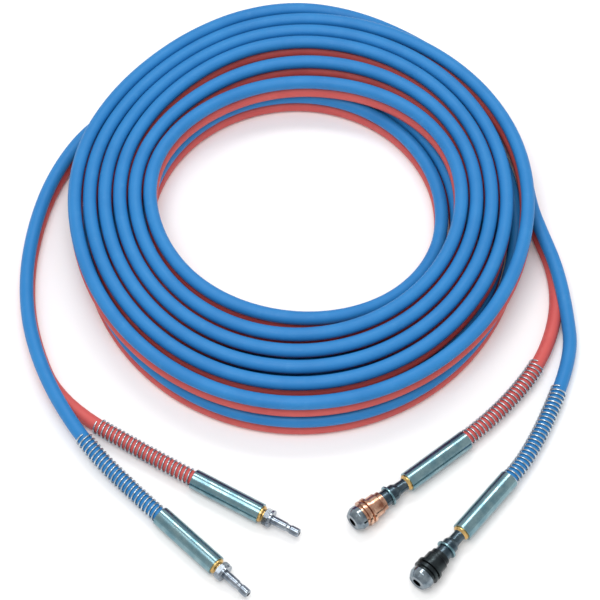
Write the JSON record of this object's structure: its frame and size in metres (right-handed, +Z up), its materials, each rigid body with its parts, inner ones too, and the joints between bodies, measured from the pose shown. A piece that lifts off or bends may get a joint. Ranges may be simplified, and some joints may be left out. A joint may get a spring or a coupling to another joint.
{
  "type": "twin gas hose set",
  "caption": "Coiled twin gas hose set, blue and red, with spring guards, long sleeves, plain plugs at one end and sliding-sleeve quick couplers at the other.",
  "frame": {"origin": "middle of the whole part's box, on the floor under the coil and the fittings", "axes": "+Z up, +X to the viewer's right in the picture, +Y away from the viewer"},
  "size_m": [0.5352, 0.642, 0.0535],
  "materials": {
    "blue_hose": "satin",
    "red_hose": "satin",
    "zinc_steel": "satin",
    "spring_wire": "satin",
    "brass": "satin",
    "plug_steel": "satin",
    "coupler_steel": "satin",
    "chrome": "gloss",
    "copper_sleeve": "satin",
    "black_sleeve": "satin",
    "seal_rubber": "matte"
  },
  "bodies": {
    "hose_set": {"blue_bore_seal": "seal_rubber", "blue_coupler_adaptor": "coupler_steel", "blue_coupler_body": "coupler_steel", "blue_coupler_collar_disc": "coupler_steel", "blue_coupler_ferrule": "zinc_steel", "blue_coupler_insert": "brass", "blue_coupler_nose_ring": "chrome", "blue_coupler_spring_guard": "spring_wire", "blue_coupler_tail": "blue_hose", "blue_hose_coil": "blue_hose", "blue_lock_balls": "coupler_steel", "blue_plug_body": "plug_steel", "blue_plug_ferrule": "zinc_steel", "blue_plug_insert": "brass", "blue_plug_spring_guard": "spring_wire", "blue_plug_tail": "blue_hose", "blue_plug_washer": "seal_rubber", "blue_sleeve_spring": "spring_wire", "blue_stop_ring": "coupler_steel", "blue_valve_spring": "spring_wire", "red_bore_seal": "seal_rubber", "red_coupler_adaptor": "coupler_steel", "red_coupler_body": "coupler_steel", "red_coupler_collar_disc": "coupler_steel", "red_coupler_ferrule": "zinc_steel", "red_coupler_insert": "brass", "red_coupler_nose_ring": "chrome", "red_coupler_spring_guard": "spring_wire", "red_coupler_tail": "red_hose", "red_hose_coil": "red_hose", "red_lock_balls": "coupler_steel", "red_plug_body": "plug_steel", "red_plug_ferrule": "zinc_steel", "red_plug_insert": "brass", "red_plug_spring_guard": "spring_wire", "red_plug_tail": "red_hose", "red_plug_washer": "seal_rubber", "red_sleeve_spring": "spring_wire", "red_stop_ring": "coupler_steel", "red_valve_spring": "spring_wire"},
    "blue_sleeve": {"blue_release_sleeve": "black_sleeve"},
    "blue_valve": {"blue_valve_poppet": "brass", "blue_valve_seal": "seal_rubber"},
    "red_sleeve": {"red_release_sleeve": "copper_sleeve"},
    "red_valve": {"red_valve_poppet": "brass", "red_valve_seal": "seal_rubber"}
  },
  "joints": [
    {"name": "blue_sleeve_slide", "type": "slide", "parent": "hose_set", "child": "blue_sleeve", "axis": [0.648, 0.7612, -0.0266], "range_m": [0, 0.004], "stiffness_N_per_m": 900, "springref_m": -0.003, "deforming": ["blue_sleeve_spring"]},
    {"name": "blue_valve_slide", "type": "slide", "parent": "hose_set", "child": "blue_valve", "axis": [0.648, 0.7612, -0.0266], "range_m": [0, 0.004], "stiffness_N_per_m": 500, "springref_m": -0.003, "deforming": ["blue_valve_spring"]},
    {"name": "red_sleeve_slide", "type": "slide", "parent": "hose_set", "child": "red_sleeve", "axis": [0.7819, 0.6228, -0.0267], "range_m": [0, 0.004], "stiffness_N_per_m": 900, "springref_m": -0.003, "deforming": ["red_sleeve_spring"]},
    {"name": "red_valve_slide", "type": "slide", "parent": "hose_set", "child": "red_valve", "axis": [0.7819, 0.6228, -0.0267], "range_m": [0, 0.004], "stiffness_N_per_m": 500, "springref_m": -0.003, "deforming": ["red_valve_spring"]}
  ]
}
